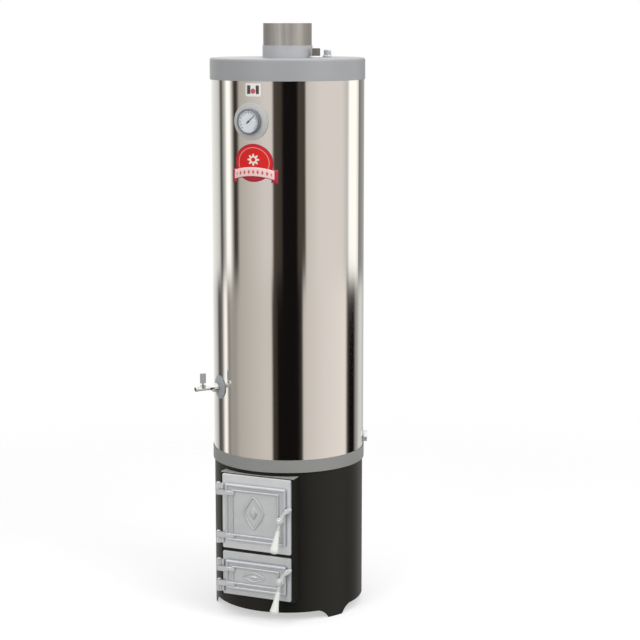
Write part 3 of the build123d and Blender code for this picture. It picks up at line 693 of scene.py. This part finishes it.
# A matte disc of points rho * (cos, sin), lifted a little for the camera and clear beyond its fade
def makeFloor(spec):
    rho = np.linspace(0, spec["radius"], spec["rings"])[:, None]
    angle = anglesRound(spec["columns"]).T
    points = np.stack([rho * np.cos(angle), rho * np.sin(angle), 0 * rho * angle - spec["below"]], -1)
    floor = weld(gridMesh("floor", points, closedV=True))
    material, tree, shader = newMaterial("floor_pale")
    tree.nodes.remove(shader)
    distance = addNode(tree, "ShaderNodeVectorMath", operation="LENGTH")
    feed(tree, distance.inputs[0], objectPlace(tree))
    path = addNode(tree, "ShaderNodeLightPath").outputs
    far = smoothStep(tree, distance.outputs["Value"], *spec["fade"])
    through = calc(tree, "MAXIMUM", far, path["Is Glossy Ray"])
    matte = addNode(tree, "ShaderNodeBsdfDiffuse")
    feed(tree, matte.inputs["Color"], (spec["grey"],) * 3)
    glow = addNode(tree, "ShaderNodeEmission")
    feed(tree, glow.inputs["Color"], (1, 1, 1))
    feed(tree, glow.inputs["Strength"], calc(tree, "MULTIPLY", path["Is Camera Ray"], spec["lift"]))
    bright = addNode(tree, "ShaderNodeAddShader")
    feed(tree, bright.inputs[0], matte.outputs[0])
    feed(tree, bright.inputs[1], glow.outputs[0])
    clear = addNode(tree, "ShaderNodeBsdfTransparent").outputs[0]
    shown = mixShader(tree, through, bright.outputs[0], clear)
    feed(tree, tree.nodes["Material Output"].inputs["Surface"], shown)
    floor.data.materials.append(material)


makeFloor(floorLook)

# Surroundings. A stripe is a place from -1 to 1 across the jacket, as seen from the azimuth, and one of
# the tones below. The upper and lower rows are what the jacket shows above and below the split.
roomTones = {  # from 0 to 255, as the jacket shows them
    "window": (254, 252, 246), "daylight": (247, 244, 238), "bright": (222, 214, 208),
    "plaster": (210, 203, 197), "silver": (205, 204, 202), "stucco": (202, 195, 190),
    "wall": (195, 188, 181), "mist": (182, 181, 178), "shade": (171, 165, 156), "grey": (150, 146, 140),
    "dim": (119, 116, 112), "dark": (78, 76, 74), "sepia": (70, 63, 57), "umber": (60, 53, 47),
    "coal": (48, 44, 38), "black": (15, 12, 12),
}
room = {
    "azimuth": 24.4, "gain": 1.3, "soft": 0.45, "mirrorTone": 0.79, "split": (-0.151, -0.134),
    "ceiling": (1.1, 1.1, 1.1), "ceilingFrom": (0.15, 0.5),
    "upper": [
        (-1.000, "daylight"), (-0.912, "silver"), (-0.886, "mist"), (-0.868, "dark"), (-0.852, "dark"),
        (-0.836, "grey"), (-0.812, "mist"), (-0.788, "window"), (-0.750, "window"), (-0.712, "grey"),
        (-0.690, "coal"), (-0.655, "umber"), (-0.622, "shade"), (-0.30, "stucco"), (-0.200, "stucco"),
        (-0.180, "sepia"), (-0.085, "umber"), (-0.055, "black"), (0.115, "black"), (0.140, "sepia"),
        (0.220, "umber"), (0.244, "wall"), (0.42, "plaster"), (0.70, "plaster"), (0.772, "mist"),
        (0.802, "window"), (0.885, "window"), (0.925, "dim"), (1.0, "mist"),
    ],
    "lower": [
        (-1.000, "daylight"), (-0.965, "silver"), (-0.938, "mist"), (-0.912, "dark"), (-0.895, "dark"),
        (-0.868, "dim"), (-0.850, "stucco"), (-0.834, "daylight"), (-0.812, "daylight"), (-0.796, "shade"),
        (-0.780, "dim"), (-0.755, "grey"), (-0.690, "grey"), (-0.640, "shade"), (-0.30, "wall"),
        (-0.222, "wall"), (-0.200, "umber"), (-0.150, "coal"), (-0.130, "black"), (0.130, "black"),
        (0.160, "coal"), (0.180, "coal"), (0.202, "wall"), (0.45, "plaster"), (0.748, "bright"),
        (0.778, "sepia"), (0.81, "black"), (0.862, "black"), (0.892, "grey"), (0.950, "silver"),
        (1.0, "grey"),
    ],
}


# Linear light of one part of a display tone, from 0 to 255
def linearLight(part):
    share = part / 255
    return share / 12.92 if share <= 0.04045 else ((share + 0.055) / 1.055) ** 2.4


# A ramp over the direction. A mirror at x across the jacket shows what stands 2 asin(x) from the viewer,
# so the stripe goes to asin(x) / pi + 0.5 of the way round.
def stripeRamp(tree, place, rows):
    ramp = addNode(tree, "ShaderNodeValToRGB")
    elements = ramp.color_ramp.elements
    while len(elements) > 1:
        elements.remove(elements[-1])
    for index, (x, tone) in enumerate(rows):
        position = math.asin(max(-1, min(1, x))) / math.pi + 0.5
        element = elements[0] if index == 0 else elements.new(position)
        element.position = position
        colour = [linearLight(part) / room["mirrorTone"] / room["gain"] for part in roomTones[tone]]
        element.color = (*colour, 1)
    feed(tree, ramp.inputs[0], place)
    return ramp.outputs[0]


# A plain background shader of one colour and strength
def background(tree, colour, strength):
    node = addNode(tree, "ShaderNodeBackground")
    feed(tree, node.inputs["Color"], colour)
    feed(tree, node.inputs["Strength"], strength)
    return node.outputs[0]


# Plain white for the camera and through glass, the stripes for mirrors, and a soft even light for the rest
def makeWorld(spec):
    world = bpy.data.worlds.new("surroundings")
    bpy.context.scene.world = world
    world.use_nodes = True
    tree = world.node_tree
    tree.nodes.clear()
    x, y, z = splitVector(tree, addNode(tree, "ShaderNodeTexCoord").outputs["Generated"])
    azimuth = calc(tree, "ARCTAN2", x, calc(tree, "MULTIPLY", y, -1.0))
    turn = calc(tree, "SUBTRACT", azimuth, math.radians(spec["azimuth"]))
    turn = calc(tree, "WRAP", turn, math.pi, -math.pi)
    place = calc(tree, "MULTIPLY_ADD", turn, 1 / fullTurn, 0.5)
    lower, upper = (stripeRamp(tree, place, spec[key]) for key in ("lower", "upper"))
    walls = mixColour(tree, smoothStep(tree, z, *spec["split"]), lower, upper)
    around = mixColour(tree, smoothStep(tree, z, *spec["ceilingFrom"]), walls, spec["ceiling"])
    path = addNode(tree, "ShaderNodeLightPath").outputs
    soft = background(tree, (1, 1, 1), spec["soft"])
    lit = mixShader(tree, path["Is Glossy Ray"], soft, background(tree, around, spec["gain"]))
    seen = calc(tree, "MAXIMUM", path["Is Camera Ray"], path["Is Transmission Ray"])
    shown = mixShader(tree, seen, lit, background(tree, (1, 1, 1), 1.0))
    feed(tree, addNode(tree, "ShaderNodeOutputWorld").inputs["Surface"], shown)


makeWorld(room)
print("surroundings made")


# A place at an azimuth and a distance from the heater's axis, at a height
def aroundAxis(azimuth, distance, height):
    a = math.radians(azimuth)
    return distance * math.sin(a), axisY - distance * math.cos(a), height


# Soft lights, aimed at a point on the axis; elevations in degrees above it
lightAim = 0.75
lights = {
    "key": {"azimuth": 72, "elevation": 30, "distance": 3.0, "size": (1.8, 2.4), "energy": 36},
    "front": {"azimuth": -8, "elevation": 24, "distance": 3.4, "size": (1.6, 2.0), "energy": 27},
    "overhead": {"azimuth": 10, "elevation": 86, "distance": 2.6, "size": (2.6, 2.6), "energy": 36},
}
for name, spec in lights.items():
    data = bpy.data.lights.new(name, "AREA")
    data.shape = "RECTANGLE"
    data.size, data.size_y = spec["size"]
    data.energy = spec["energy"]
    light = newObject(name, data)
    up = math.radians(spec["elevation"])
    level, rise = spec["distance"] * math.cos(up), spec["distance"] * math.sin(up)
    light.location = aroundAxis(spec["azimuth"], level, lightAim + rise)
    light.rotation_euler = (math.pi / 2 - up, 0, math.radians(spec["azimuth"]))
    light.visible_glossy = False
    light.visible_camera = False
print("lights made")

# Camera: where it stands round the axis, how far down it looks, and how far off the axis it turns
view = {"azimuth": 24.45, "distance": 4.6, "height": 1.53, "tilt": 9.51, "turn": 1.041,
        "lens": 99.56, "sensor": 36, "clip": (0.05, 60)}
camera = newObject("camera", bpy.data.cameras.new("camera"))
camera.data.sensor_width = view["sensor"]
camera.data.lens = view["lens"]
camera.data.clip_start, camera.data.clip_end = view["clip"]
camera.location = aroundAxis(view["azimuth"], view["distance"], view["height"])
camera.rotation_euler = (math.radians(90 - view["tilt"]), 0, math.radians(view["azimuth"] - view["turn"]))
bpy.context.scene.camera = camera
bpy.context.scene.view_settings.view_transform = "Standard"

print("finishing")
